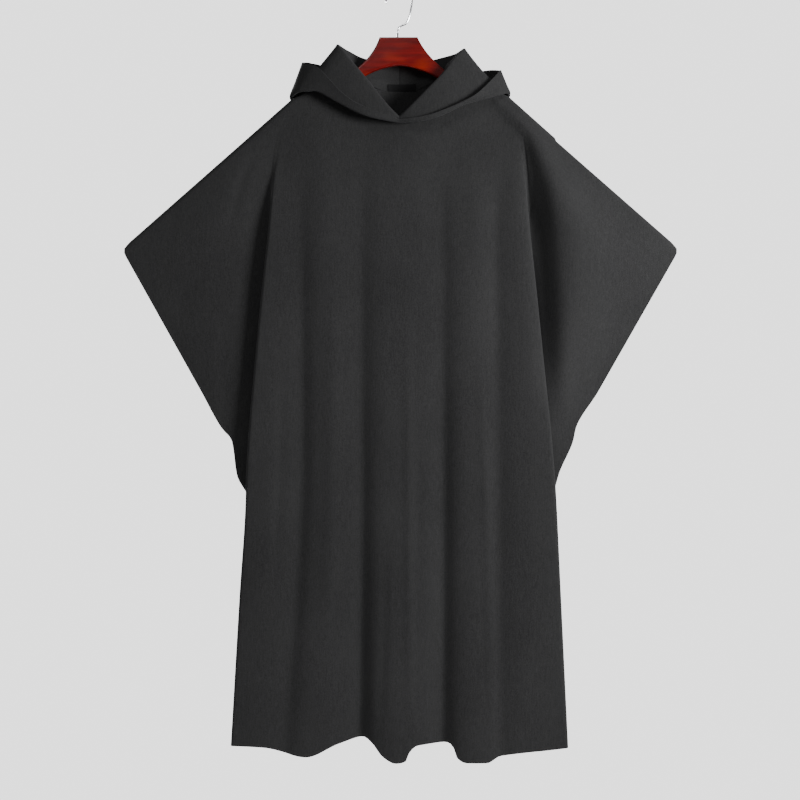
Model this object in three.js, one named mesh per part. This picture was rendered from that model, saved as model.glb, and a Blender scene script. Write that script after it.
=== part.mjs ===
// A hooded wool cloak with wide batwing sides, hung on a wooden clothes hanger with a wire hook.
// Millimetres, +Z up, the front faces -Y. The origin is the inner top of the hook, where a rail carries it.
import * as THREE from 'three';

// Driving dimensions
const clothThickness = 2;
const seamGap = 0.3;
const foldRadius = 11;
const pleatRadius = 5.5;
const neckHalfWidth = 95;
const neckSideRise = 0.75;
const neckOpening = 8;
const neckOpeningWidth = 62;
const neckSideZ = -163;
const frontNeckZ = -267;
const backNeckZ = -205;
const yokeEndZ = -300;
const hemBlendZ = -1100;
const hemCornerZ = -1513;
const underarmZ = -1024;
const armholeCloseLength = 70;
const sleeveHalfGap = 9;
const hoodTurnRadius = 3;
const labelWidth = 56;
const labelHeight = 14;
const labelThickness = 0.8;
const labelCentreX = 6;
const hangerThickness = 13;
const hangerDrop = 4.2;
const hangerBevel = 4;
const wireRadius = 1.8;
const hookRadius = 26;

// Outline by height: the wing edge and the front roll of the body on each side
const outline = [
  { z: -224, wingLeft: -216, rollLeft: -197, rollRight: 201, wingRight: 220 },
  { z: -300, wingLeft: -302, rollLeft: -237, rollRight: 239, wingRight: 307 },
  { z: -522, wingLeft: -554, rollLeft: -263, rollRight: 264, wingRight: 560 },
  { z: -808, wingLeft: -394, rollLeft: -291, rollRight: 294, wingRight: 397 },
  { z: -880, wingLeft: -354, rollLeft: -297, rollRight: 301, wingRight: 353 },
  { z: -904, wingLeft: -334, rollLeft: -299, rollRight: 303, wingRight: 348 },
  { z: -976, wingLeft: -323, rollLeft: -303, rollRight: 309, wingRight: 318 },
  { z: -1024, wingLeft: -301, rollLeft: -304, rollRight: 312, wingRight: 309 },
  { z: -1216, wingLeft: -313, rollLeft: -316, rollRight: 321, wingRight: 318 },
  { z: -1513, wingLeft: -330, rollLeft: -333, rollRight: 335, wingRight: 332 },
];

// Pleat under each end of the hanger: the angle it turns back through and the length of its hidden layer
const frontPleat = [
  { z: -224, turn: 4, hidden: 6 },
  { z: -300, turn: 40, hidden: 8 },
  { z: -450, turn: 95, hidden: 10 },
  { z: -700, turn: 150, hidden: 18 },
  { z: -1024, turn: 170, hidden: 34 },
  { z: -1513, turn: 158, hidden: 22 },
];
const backPleat = [
  { z: -224, turn: 4, hidden: 6 },
  { z: -300, turn: 30, hidden: 8 },
  { z: -450, turn: 80, hidden: 10 },
  { z: -700, turn: 130, hidden: 14 },
  { z: -1024, turn: 160, hidden: 26 },
  { z: -1513, turn: 150, hidden: 18 },
];

// How far each wing stands out between its edge and the body, and how far towards the body its crest leans
const frontWings = { left: { bulge: 6, lean: 1 }, right: { bulge: 24, lean: 1.9 } };
const backWings = { left: { bulge: 12, lean: 1.4 }, right: { bulge: 8, lean: 1 } };

// Hanging folds: where each valley runs and how deep it is at the chest, the waist and the hem
const foldHeights = { chest: -330, waist: -930, hem: -1513 };
const frontValleys = [
  { name: 'left', chestX: -198, waistX: -196, hemX: -230, chest: 3, waist: 10, hem: 8, width: 30 },
  { name: 'leftMiddle', chestX: -80, waistX: -82, hemX: -84, chest: 2, waist: 13, hem: 24, width: 36 },
  { name: 'rightMiddle', chestX: 78, waistX: 80, hemX: 78, chest: 3, waist: 13, hem: 24, width: 36 },
  { name: 'right', chestX: 192, waistX: 198, hemX: 206, chest: 4, waist: 10, hem: 9, width: 32 },
];
const backValleys = [
  { name: 'left', chestX: -150, waistX: -158, hemX: -176, chest: 2, waist: 8, hem: 16, width: 44 },
  { name: 'middle', chestX: -10, waistX: -6, hemX: 4, chest: 2, waist: 9, hem: 18, width: 50 },
  { name: 'right', chestX: 140, waistX: 150, hemX: 172, chest: 2, waist: 7, hem: 15, width: 42 },
];

// Hem line from the left corner to the right one
const frontHem = [
  { x: -333, z: -1508 },
  { x: -268, z: -1512 },
  { x: -184, z: -1531 },
  { x: -120, z: -1506 },
  { x: -70, z: -1494 },
  { x: -54, z: -1504 },
  { x: -32, z: -1531 },
  { x: -6, z: -1544 },
  { x: 12, z: -1541 },
  { x: 22, z: -1520 },
  { x: 38, z: -1509 },
  { x: 98, z: -1505 },
  { x: 108, z: -1514 },
  { x: 116, z: -1535 },
  { x: 134, z: -1543 },
  { x: 174, z: -1543 },
  { x: 200, z: -1530 },
  { x: 335, z: -1512 },
];
const backHem = [
  { x: -333, z: -1500 },
  { x: -90, z: -1494 },
  { x: 335, z: -1502 },
];

// Hood sections from the front point to the centre back: the roll at the top, the lowest fold of the outside,
// and the free face edge. facing is the way that the outside looks, in degrees from the front. Their places along
// the neck are shares from the middle of the front panel to the shoulder line, then from there to the middle back.
const frontNeckShares = [0, 0.18, 0.36, 0.54, 0.7, 0.84, 0.94, 1];
const backNeckShares = [1, 0.93, 0.8, 0.58, 0.3, 0];
const leftHood = [
  { facing: 0, roll: [-3, -30, -262], low: [-3, -36, -275], edge: [-4, -41, -270] },
  { facing: 5, roll: [-19, -34, -244], low: [-30, -42, -271], edge: [-26, -45, -260] },
  { facing: 12, roll: [-40, -34, -219], low: [-62, -43, -264], edge: [-54, -48, -250] },
  { facing: 20, roll: [-64, -31, -188], low: [-92, -40, -251], edge: [-86, -47, -237] },
  { facing: 35, roll: [-92, -26, -154], low: [-124, -36, -233], edge: [-114, -45, -216] },
  { facing: 50, roll: [-112, -19, -128], low: [-162, -29, -212], edge: [-138, -41, -190] },
  { facing: 61, roll: [-118, -13, -120], low: [-183, -23, -211], edge: [-157, -35, -169] },
  { facing: 72, roll: [-120, -6, -117], low: [-199, -16, -211], edge: [-174, -26, -156] },
  { facing: 95, roll: [-108, 7, -122], low: [-215, 4, -218], edge: [-192, -8, -151] },
  { facing: 112, roll: [-98, 14, -126], low: [-213, 20, -228], edge: [-191, 16, -151] },
  { facing: 138, roll: [-80, 22, -134], low: [-192, 35, -310], edge: [-168, 44, -153] },
  { facing: 162, roll: [-44, 32, -142], low: [-116, 39, -398], edge: [-104, 60, -176] },
  { facing: 180, roll: [0, 36, -146], low: [0, 41, -440], edge: [0, 66, -196] },
];
const rightHood = [
  { facing: 0, roll: [3, -30, -262], low: [3, -36, -275], edge: [4, -41, -270] },
  { facing: 5, roll: [18, -34, -247], low: [30, -42, -274], edge: [29, -45, -267] },
  { facing: 12, roll: [38, -34, -227], low: [62, -43, -269], edge: [61, -48, -261] },
  { facing: 20, roll: [62, -31, -202], low: [94, -40, -257], edge: [92, -47, -250] },
  { facing: 35, roll: [90, -26, -172], low: [128, -36, -240], edge: [122, -45, -237] },
  { facing: 50, roll: [110, -19, -144], low: [163, -29, -229], edge: [150, -41, -221] },
  { facing: 61, roll: [122, -13, -132], low: [184, -25, -223], edge: [168, -34, -205] },
  { facing: 72, roll: [127, -6, -126], low: [200, -19, -217], edge: [184, -25, -188] },
  { facing: 95, roll: [116, 7, -130], low: [219, 5, -211], edge: [202, -8, -168] },
  { facing: 112, roll: [103, 14, -133], low: [217, 20, -224], edge: [202, 14, -166] },
  { facing: 138, roll: [82, 22, -137], low: [195, 35, -308], edge: [184, 42, -165] },
  { facing: 162, roll: [46, 32, -144], low: [118, 39, -398], edge: [106, 60, -180] },
  { facing: 180, roll: [0, 36, -146], low: [0, 41, -440], edge: [0, 66, -196] },
];

const wool = new THREE.MeshStandardMaterial({ color: 0x2b2b2d, roughness: 0.95, metalness: 0 });
const wood = new THREE.MeshStandardMaterial({ color: 0x6e2418, roughness: 0.3, metalness: 0 });
const chrome = new THREE.MeshStandardMaterial({ color: 0xc9ccd0, roughness: 0.2, metalness: 1 });
const wovenLabel = new THREE.MeshStandardMaterial({ color: 0x101012, roughness: 0.7, metalness: 0 });

const lerp = THREE.MathUtils.lerp;
const smooth = (value, from, to) => THREE.MathUtils.smoothstep(value, from, to);
const radians = THREE.MathUtils.degToRad;

// Reads column `key` of a table at `at`, where `by` is the column that orders it
function readTable(table, by, key, at) {
  const rising = table[table.length - 1][by] > table[0][by] ? 1 : -1;
  const next = table.findIndex((row) => rising * (row[by] - at) >= 0);
  if (next === 0) return table[0][key];
  if (next < 0) return table[table.length - 1][key];
  const before = table[next - 1];
  const share = (at - before[by]) / (table[next][by] - before[by]);
  return lerp(before[key], table[next][key], share);
}

// Distance from the folded top line: neck side, shoulder point and wing tip
function topLine(side) {
  const shoulder = outline[0];
  const tip = outline[2];
  const key = side < 0 ? 'wingLeft' : 'wingRight';
  return [
    new THREE.Vector2(side * neckHalfWidth, neckSideZ),
    new THREE.Vector2(shoulder[key], shoulderZ(side)),
    new THREE.Vector2(tip[key], tip.z),
  ];
}

function shoulderZ(side) {
  return side < 0 ? -224 : -218;
}

function distanceFromTop(x, z) {
  const points = topLine(Math.sign(x) || 1);
  const here = new THREE.Vector2(x, z);
  let nearest = Infinity;
  for (let index = 0; index < points.length - 1; index += 1) {
    const run = points[index + 1].clone().sub(points[index]);
    const along = THREE.MathUtils.clamp(here.clone().sub(points[index]).dot(run) / run.lengthSq(), 0, 1);
    const foot = points[index].clone().addScaledVector(run, along);
    nearest = Math.min(nearest, foot.distanceTo(here));
  }
  return nearest;
}

// A quarter round of the given radius, as a share of its full height
function roundShare(distance, radius) {
  const inside = Math.min(distance / radius, 1);
  return Math.sqrt(Math.max(0, 1 - (1 - inside) ** 2));
}

function valleyDepth(valleys, x, z) {
  const heights = [
    { z: foldHeights.chest, key: 'chest' },
    { z: foldHeights.waist, key: 'waist' },
    { z: foldHeights.hem, key: 'hem' },
  ];
  const fade = smooth(-z, -yokeEndZ - 60, -foldHeights.chest + 120);
  return valleys.reduce((total, valley) => {
    const depths = heights.map((row) => ({ z: row.z, value: valley[row.key] }));
    const places = heights.map((row) => ({ z: row.z, value: valley[`${row.key}X`] }));
    const depth = readTable(depths, 'z', 'value', z);
    const offset = (x - readTable(places, 'z', 'value', z)) / valley.width;
    return total + fade * depth * Math.exp(-offset * offset);
  }, 0);
}

// Where the seam of the neck runs, and how far the cloth stands off the middle there
function neckZ(x, panel) {
  const share = Math.min(Math.abs(x) / neckHalfWidth, 1);
  return lerp(panel.neckZ, neckSideZ, share ** panel.neckPower);
}

// A point of the neck's outer face: share runs from the middle of the panel, 0, to the side of the neck, 1
function neckPoint(share, side, panel) {
  const x = side * neckHalfWidth * Math.sin((Math.PI / 2) * share);
  const z = neckZ(x, panel);
  const depth = share === 1 ? 0 : bodyDepth(panel, x, z);
  return new THREE.Vector3(x, panel.side * depth, z);
}

// Half of the upright gap that leaves a seam's gap square to the sloping neck
function neckSeamRise(x, panel) {
  const slope = neckZ(x, panel) - neckZ(Math.abs(x) - 1, panel);
  return (seamGap / 2) * Math.sqrt(1 + slope ** 2) + seamGap / 2;
}

// One cross-section of the pleat, outward from the body's front layer to the start of the wing
function pleatSection(turn, hidden) {
  const stepsPerTurn = 3;
  const start = -pleatRadius * Math.sin(Math.min(turn, Math.PI / 2));
  const points = [];
  for (let step = 0; step <= stepsPerTurn; step += 1) {
    const heading = (turn * step) / stepsPerTurn;
    points.push([start + pleatRadius * Math.sin(heading), pleatRadius * (1 - Math.cos(heading))]);
  }
  const [turnOut, turnBack] = points[stepsPerTurn];
  points.push([turnOut + 0.5 * hidden * Math.cos(turn), turnBack + 0.5 * hidden * Math.sin(turn)]);
  for (let step = 0; step <= stepsPerTurn; step += 1) {
    const heading = turn * (1 - step / stepsPerTurn);
    points.push([
      turnOut + hidden * Math.cos(turn) + pleatRadius * (Math.sin(turn) - Math.sin(heading)),
      turnBack + hidden * Math.sin(turn) + pleatRadius * (Math.cos(heading) - Math.cos(turn)),
    ]);
  }
  return points.map(([out, back]) => ({ out, back }));
}

const frontPanel = {
  side: -1,
  pleat: frontPleat,
  wings: frontWings,
  valleys: frontValleys,
  hem: frontHem,
  neckZ: frontNeckZ,
  neckPower: 2.3,
  rollInset: 0,
  wingShares: [0, 0.008, 0.03, 0.08, 0.2, 0.38, 0.58, 0.8],
  bodyColumns: 34,
  neckShares: frontNeckShares,
  rows: [-345, -400, -460, -522, -585, -655, -730, -808, -856, -904, -976, -1024, -1100, -1216, -1320, -1420, -1513],
};
const backPanel = {
  side: 1,
  pleat: backPleat,
  wings: backWings,
  valleys: backValleys,
  hem: backHem,
  neckZ: backNeckZ,
  neckPower: 2.4,
  rollInset: 9,
  wingShares: [0, 0.008, 0.03, 0.08, 0.25, 0.5, 0.78],
  bodyColumns: 20,
  neckShares: [...backNeckShares].reverse(),
  rows: [-350, -430, -522, -610, -710, -808, -880, -950, -1024, -1100, -1216, -1360, -1513],
};
const yokeShares = [0, 0.012, 0.045, 0.12, 0.35, 0.68, 1];

// How far the body's outer face stands off the middle plane
function bodyDepth(panel, x, z) {
  const turn = radians(readTable(panel.pleat, 'z', 'turn', z));
  const hidden = readTable(panel.pleat, 'z', 'hidden', z);
  const pleat = pleatSection(turn, hidden);
  const full = sleeveHalfGap + pleat[pleat.length - 1].back;
  const distance = distanceFromTop(x, z);
  const fade = smooth(distance, foldRadius, 100) * (1 - smooth(-z, -yokeEndZ, 520));
  const opening = neckOpening * fade * Math.exp(-((x / neckOpeningWidth) ** 2));
  const eased = opening + lerp(foldRadius, Math.max(full, foldRadius + 3), smooth(distance, foldRadius, 120));
  return eased * roundShare(distance, foldRadius) - valleyDepth(panel.valleys, x, z);
}

// Side edge: folded over at the top, open along the sleeve, then seamed from the underarm down
function edgeShare(distanceIn, z) {
  const closing = smooth(-z, -underarmZ - armholeCloseLength, -underarmZ);
  return lerp(1, roundShare(distanceIn, pleatRadius), closing);
}

function panelPoint(panel, x, depth, z) {
  return new THREE.Vector3(x, panel.side * Math.max(depth, seamGap / 2), z);
}

// One row of the panel, from the left edge to the right one, at the nominal height z
function panelRow(panel, z) {
  const turn = radians(readTable(panel.pleat, 'z', 'turn', z));
  const hidden = readTable(panel.pleat, 'z', 'hidden', z);
  const section = pleatSection(turn, hidden);
  const wingAndPleat = (side) => {
    const wingX = readTable(outline, 'z', side < 0 ? 'wingLeft' : 'wingRight', z);
    const rollX = readTable(outline, 'z', side < 0 ? 'rollLeft' : 'rollRight', z) - side * panel.rollInset;
    const front = bodyDepth(panel, rollX, z);
    const scale = (front - sleeveHalfGap) / section[section.length - 1].back;
    const endX = rollX + side * section[section.length - 1].out;
    const slope = z > outline[2].z;
    const { bulge, lean } = side < 0 ? panel.wings.left : panel.wings.right;
    const widthShare = Math.sqrt(smooth(Math.abs(wingX - rollX), 20, 240));
    const fullness = bulge * widthShare * (1 - smooth(-z, 850, -underarmZ));
    const wing = panel.wingShares.map((share) => {
      const x = lerp(wingX, endX, share);
      const depth = sleeveHalfGap + fullness * Math.sin(Math.PI * share ** lean);
      const fold = slope ? roundShare(distanceFromTop(x, z), foldRadius) : edgeShare(Math.abs(x - wingX), z);
      return { x, depth: depth * fold };
    });
    const pleat = section.map(({ out, back }) => ({ x: rollX + side * out, depth: front - scale * back }));
    return { wing, pleat: pleat.reverse(), startX: rollX + side * section[0].out };
  };
  const left = wingAndPleat(-1);
  const right = wingAndPleat(1);
  const body = [];
  for (let column = 1; column < panel.bodyColumns; column += 1) {
    const x = lerp(left.startX, right.startX, column / panel.bodyColumns);
    body.push({ x, depth: bodyDepth(panel, x, z) });
  }
  return [...left.wing, ...left.pleat, ...body, ...right.pleat.reverse(), ...right.wing.reverse()];
}

// The folded top edge: wing and shoulder on each side, and the neck between them
function topRow(panel, count) {
  const halfNeck = panel.neckShares.length - 1;
  const neckFrom = (count - 1) / 2 - halfNeck;
  const neckTo = neckFrom + 2 * halfNeck;
  return Array.from({ length: count }, (_, index) => {
    if (index >= neckFrom && index <= neckTo) {
      const fromMiddle = index - neckFrom - halfNeck;
      const point = neckPoint(panel.neckShares[Math.abs(fromMiddle)], Math.sign(fromMiddle) || 1, panel);
      const atSide = Math.abs(fromMiddle) === halfNeck;
      return { x: point.x, z: point.z - (atSide ? 0 : neckSeamRise(point.x, panel)) };
    }
    const side = index < neckFrom ? -1 : 1;
    const [neck, shoulder] = topLine(side);
    const share = (index < neckFrom ? index : count - 1 - index) / neckFrom;
    return { x: lerp(shoulder.x, neck.x, share), z: lerp(shoulder.y, neck.y, share) };
  });
}

function panelGrid(panel) {
  const yokeEnd = panelRow(panel, yokeEndZ);
  const top = topRow(panel, yokeEnd.length);
  const last = yokeEnd.length - 1;
  const grid = yokeShares.map((share) =>
    yokeEnd.map((point, index) => {
      const z = lerp(top[index].z, yokeEndZ, share);
      if (index === 0 || index === last) {
        const line = topLine(index === 0 ? -1 : 1);
        const along = (z - line[1].y) / (line[2].y - line[1].y);
        return panelPoint(panel, lerp(line[1].x, line[2].x, along), 0, z);
      }
      const x = lerp(top[index].x, point.x, share);
      const upper = bodyDepth(panel, x, z);
      const depth = lerp(upper, point.depth, share * share);
      return panelPoint(panel, x, share === 0 && Math.abs(x) >= neckHalfWidth - 0.01 ? 0 : depth, z);
    })
  );
  panel.rows.forEach((z) => {
    const drop = smooth(-z, -hemBlendZ, -hemCornerZ);
    grid.push(
      panelRow(panel, z).map((point) => {
        const hemZ = readTable(panel.hem, 'x', 'z', point.x);
        return panelPoint(panel, point.x, point.depth, z + drop * (hemZ - hemCornerZ));
      })
    );
  });
  return grid;
}

// Closes a wall round a grid of points, from `outward` to `inward` millimetres along the grid's normals.
// trim straightens a normal where the wall ends in a seam.
function wallGeometry(grid, outward, inward, trim) {
  const rows = grid.length;
  const columns = grid[0].length;
  const normalAt = (row, column) => {
    const down = grid[Math.min(row + 1, rows - 1)][column].clone().sub(grid[Math.max(row - 1, 0)][column]);
    const across = grid[row][Math.min(column + 1, columns - 1)].clone();
    across.sub(grid[row][Math.max(column - 1, 0)]);
    const normal = down.cross(across);
    trim?.(normal.normalize(), row, column, grid[row][column]);
    return normal.normalize();
  };
  const positions = [];
  [outward, inward].forEach((shift) => {
    grid.forEach((points, row) => {
      points.forEach((point, column) => {
        positions.push(...point.clone().addScaledVector(normalAt(row, column), shift).toArray());
      });
    });
  });
  const faces = [];
  const innerStart = rows * columns;
  const at = (row, column) => row * columns + column;
  const quad = (a, b, c, d) => faces.push(a, b, c, a, c, d);
  for (let row = 0; row < rows - 1; row += 1) {
    for (let column = 0; column < columns - 1; column += 1) {
      const corners = [at(row, column), at(row + 1, column), at(row + 1, column + 1), at(row, column + 1)];
      quad(...corners);
      quad(...corners.map((corner) => corner + innerStart).reverse());
    }
  }
  const rim = [];
  for (let row = 0; row < rows; row += 1) rim.push(at(row, 0));
  for (let column = 1; column < columns; column += 1) rim.push(at(rows - 1, column));
  for (let row = rows - 2; row >= 0; row -= 1) rim.push(at(row, columns - 1));
  for (let column = columns - 2; column > 0; column -= 1) rim.push(at(0, column));
  rim.forEach((here, index) => {
    const next = rim[(index + 1) % rim.length];
    quad(here, here + innerStart, next + innerStart, next);
  });
  const geometry = new THREE.BufferGeometry();
  geometry.setAttribute('position', new THREE.Float32BufferAttribute(positions, 3));
  geometry.setIndex(faces);
  geometry.computeVertexNormals();
  return geometry;
}

function buildPanel(panel) {
  const grid = panelGrid(panel);
  const outwardRows = panel.side < 0 ? grid : grid.map((row) => [...row].reverse());
  return wallGeometry(outwardRows, 0, -clothThickness, (normal, row, column, point) => {
    if (Math.abs(point.y) <= seamGap / 2 + 0.001) normal.y = 0;
  });
}

// Hood

function hoodSections(table, side) {
  const curves = ['roll', 'low', 'edge'].map((key) => {
    const points = table.map((row) => new THREE.Vector3(...row[key]));
    return new THREE.CatmullRomCurve3(points, false, 'centripetal');
  });
  const stations = 2 * (table.length - 1);
  const sections = [];
  for (let station = 0; station <= stations; station += 1) {
    const row = Math.min(Math.floor(station / 2), table.length - 2);
    const share = station / 2 - row;
    const [roll, low, edge] = curves.map((curve) => curve.getPoint(station / stations));
    const facing = radians(lerp(table[row].facing, table[row + 1].facing, share));
    const outward = new THREE.Vector3(side * Math.sin(facing), -Math.cos(facing), 0);
    const neck = hoodNeck(row, side).lerp(hoodNeck(row + 1, side), share);
    sections.push(hoodSection(neck, roll, low, edge, outward));
  }
  return sections.map((section, station) => {
    const atCentre = station === 0 || station === stations;
    return section.map((point) => clearOfCentre(point, side, atCentre));
  });
}

// The hood's lower edge stands on the neck of the two panels, a seam's gap above it
function hoodNeck(row, side) {
  const lastFront = frontNeckShares.length - 1;
  const inFront = row <= lastFront;
  const share = inFront ? frontNeckShares[row] : backNeckShares[row - lastFront];
  const panel = inFront ? frontPanel : backPanel;
  const neck = neckPoint(share, side, panel);
  neck.y -= panel.side * Math.min(clothThickness / 2, Math.abs(neck.y));
  neck.z += neckSeamRise(neck.x, panel) + (share > 0.6 ? neckSideRise : 0);
  return neck;
}

// Up from the neck seam, over the roll, down the outside, round the lowest fold and up to the face edge
function hoodSection(neck, roll, low, edge, outward) {
  const up = new THREE.Vector3(0, 0, hoodTurnRadius);
  const rollCentre = roll.clone().sub(up);
  const lowCentre = low.clone().add(up);
  const turned = (centre, degrees) =>
    centre
      .clone()
      .addScaledVector(outward, -hoodTurnRadius * Math.cos(radians(degrees)))
      .add(new THREE.Vector3(0, 0, hoodTurnRadius * Math.sin(radians(degrees))));
  const upTo = turned(rollCentre, 0);
  const down = turned(rollCentre, 180);
  const lowIn = turned(lowCentre, 0);
  const lowOut = turned(lowCentre, 180);
  return [
    neck,
    neck.clone().setZ(lerp(neck.z, upTo.z, 0.2)),
    neck.clone().lerp(upTo, 0.5).setZ(lerp(neck.z, upTo.z, 0.6)),
    upTo,
    turned(rollCentre, 60),
    turned(rollCentre, 120),
    down,
    down.clone().lerp(lowIn, 0.33),
    down.clone().lerp(lowIn, 0.67),
    lowIn,
    turned(lowCentre, -60),
    turned(lowCentre, -120),
    lowOut,
    lowOut.clone().lerp(edge, 0.33),
    lowOut.clone().lerp(edge, 0.67),
    edge,
  ];
}

// The two halves meet along the middle, a seam's gap apart
function clearOfCentre(point, side, atCentre) {
  const nearest = seamGap / 2;
  const x = atCentre && Math.abs(point.x) < 1 ? side * nearest : side * Math.max(side * point.x, nearest);
  return new THREE.Vector3(x, point.y, point.z);
}

function buildHood(table, side) {
  const sections = hoodSections(table, side);
  const ordered = side < 0 ? sections : [...sections].reverse();
  return wallGeometry(ordered, clothThickness / 2, -clothThickness / 2, (normal, row) => {
    if (row === 0 || row === ordered.length - 1) normal.x = 0;
  });
}

// Hanger

// The top of an arm, just under the folded shoulder line
function armTopZ(side, x) {
  const [neck, shoulder] = topLine(side);
  return lerp(neck.y, shoulder.y, (x - neck.x) / (shoulder.x - neck.x)) - hangerDrop;
}

function buildHangerBody() {
  const shape = new THREE.Shape();
  shape.moveTo(-39, -99);
  shape.quadraticCurveTo(-52, -138, -89, armTopZ(-1, -89));
  shape.lineTo(-200, armTopZ(-1, -200));
  shape.quadraticCurveTo(-213, -229, -208, -238);
  shape.quadraticCurveTo(-203, -246, -190, -239);
  shape.lineTo(-72, -179);
  shape.quadraticCurveTo(-36, -158, 0, -156);
  shape.quadraticCurveTo(38, -158, 79, -182);
  shape.lineTo(194, -233);
  shape.quadraticCurveTo(208, -240, 213, -231);
  shape.quadraticCurveTo(216, -223, 204, armTopZ(1, 204));
  shape.lineTo(96, armTopZ(1, 96));
  shape.quadraticCurveTo(54, -137, 37, -99);
  shape.closePath();
  const geometry = new THREE.ExtrudeGeometry(shape, {
    depth: hangerThickness - 2 * hangerBevel,
    bevelThickness: hangerBevel,
    bevelSize: hangerBevel,
    bevelOffset: -hangerBevel,
    bevelSegments: 3,
    curveSegments: 6,
  });
  geometry.translate(0, 0, -hangerThickness / 2 + hangerBevel);
  geometry.rotateX(Math.PI / 2);
  return geometry;
}

function buildHook() {
  const centreZ = wireRadius - hookRadius;
  const points = [
    new THREE.Vector3(-3, 0, -98.7),
    new THREE.Vector3(-2, 0, -88),
    new THREE.Vector3(1, 0, -78),
    new THREE.Vector3(14, 0, -71),
    new THREE.Vector3(20.5, 0, -58),
    new THREE.Vector3(24, 0, -42),
  ];
  const turnSteps = 9;
  for (let step = 0; step <= turnSteps; step += 1) {
    const angle = radians(-5 + (200 * step) / turnSteps);
    points.push(new THREE.Vector3(hookRadius * Math.cos(angle), 0, centreZ + hookRadius * Math.sin(angle)));
  }
  const section = new THREE.Shape();
  section.absarc(0, 0, wireRadius, 0, 2 * Math.PI);
  const path = new THREE.CatmullRomCurve3(points, false, 'centripetal');
  return new THREE.ExtrudeGeometry(section, {
    steps: 44,
    curveSegments: 5,
    bevelEnabled: false,
    extrudePath: path,
  });
}

// The middle of the hood's inner layer at the back, read between its sections
function hoodBackY(x, z) {
  const side = x < 0 ? -1 : 1;
  const backStations = 2 * (backNeckShares.length - 1) - 1;
  const sections = hoodSections(side < 0 ? leftHood : rightHood, side).slice(-backStations);
  const line = sections.map(([neck, middle]) => {
    const share = (z - neck.z) / (middle.z - neck.z);
    return { x: side * lerp(neck.x, middle.x, share), y: lerp(neck.y, middle.y, share) };
  });
  return readTable(line, 'x', 'y', Math.abs(x));
}

// A small bare label that lies on the inside of the back neck, over the centre seam of the hood
function buildLabel() {
  const columns = 6;
  const grid = [0, 1].map((row) => {
    const points = [];
    for (let column = 0; column <= columns; column += 1) {
      const x = labelCentreX + labelWidth * (column / columns - 0.5);
      const z = backNeckZ + labelHeight + 2 - row * labelHeight;
      const standOff = clothThickness / 2 + seamGap + 0.2 + (x / labelWidth) ** 2;
      points.push(new THREE.Vector3(x, hoodBackY(x, Math.max(z, neckZ(x, backPanel) + 1)) - standOff, z));
    }
    return points;
  });
  return wallGeometry(grid, labelThickness, 0);
}

const cloak = new THREE.Group();

function addPiece(name, geometry, material) {
  const mesh = new THREE.Mesh(geometry, material);
  mesh.name = name;
  cloak.add(mesh);
}

addPiece('front', buildPanel(frontPanel), wool);
addPiece('back', buildPanel(backPanel), wool);
addPiece('hood_left', buildHood(leftHood, -1), wool);
addPiece('hood_right', buildHood(rightHood, 1), wool);
addPiece('neck_label', buildLabel(), wovenLabel);
addPiece('hanger_body', buildHangerBody(), wood);
addPiece('hanger_hook', buildHook(), chrome);

export default cloak;
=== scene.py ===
import math
import bpy
import numpy as np
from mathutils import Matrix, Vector, noise


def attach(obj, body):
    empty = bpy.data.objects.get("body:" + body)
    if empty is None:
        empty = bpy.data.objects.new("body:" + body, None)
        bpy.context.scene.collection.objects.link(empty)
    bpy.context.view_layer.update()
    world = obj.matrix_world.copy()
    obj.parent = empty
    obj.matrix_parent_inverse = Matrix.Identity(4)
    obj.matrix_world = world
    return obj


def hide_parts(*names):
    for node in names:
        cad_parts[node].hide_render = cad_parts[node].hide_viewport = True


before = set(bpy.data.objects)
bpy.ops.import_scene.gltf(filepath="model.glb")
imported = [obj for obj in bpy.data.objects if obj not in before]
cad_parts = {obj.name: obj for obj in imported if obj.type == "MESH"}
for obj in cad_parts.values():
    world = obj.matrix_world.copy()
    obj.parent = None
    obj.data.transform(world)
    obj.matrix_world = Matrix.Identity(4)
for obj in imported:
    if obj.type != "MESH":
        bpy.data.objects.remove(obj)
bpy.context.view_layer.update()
mm = 0.001  # sizes below are in millimetres, Blender's are in metres
tiny = 1e-6
print("frame loaded")


# Small helpers for sizes and tables

def blend(a, b, share):
    return a + (b - a) * share


def soften(value, start, end):
    share = np.clip((value - start) / (end - start), 0, 1)
    return share * share * (3 - 2 * share)


def along(table, by, key, at, way="straight"):
    rows = sorted(table, key=lambda row: row[by])
    places = np.array([row[by] for row in rows], float)
    values = np.array([row[key] for row in rows], float)
    at = np.clip(np.asarray(at, float), places[0], places[-1])
    if way == "straight":
        return np.interp(at, places, values)
    index = np.clip(np.searchsorted(places, at, side="right") - 1, 0, len(places) - 2)
    width = places[index + 1] - places[index]
    share = (at - places[index]) / width
    steps = np.diff(values) / np.diff(places)
    slopes = np.empty(len(values))
    slopes[0], slopes[-1] = steps[0], steps[-1]
    for row in range(1, len(values) - 1):  # the curve never overshoots a row
        before, after = steps[row - 1], steps[row]
        slopes[row] = 0 if before * after <= 0 else 2 * before * after / (before + after)
    square, cube = share ** 2, share ** 3
    return (
        (2 * cube - 3 * square + 1) * values[index]
        + (cube - 2 * square + share) * width * slopes[index]
        + (3 * square - 2 * cube) * values[index + 1]
        + (cube - square) * width * slopes[index + 1]
    )


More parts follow.
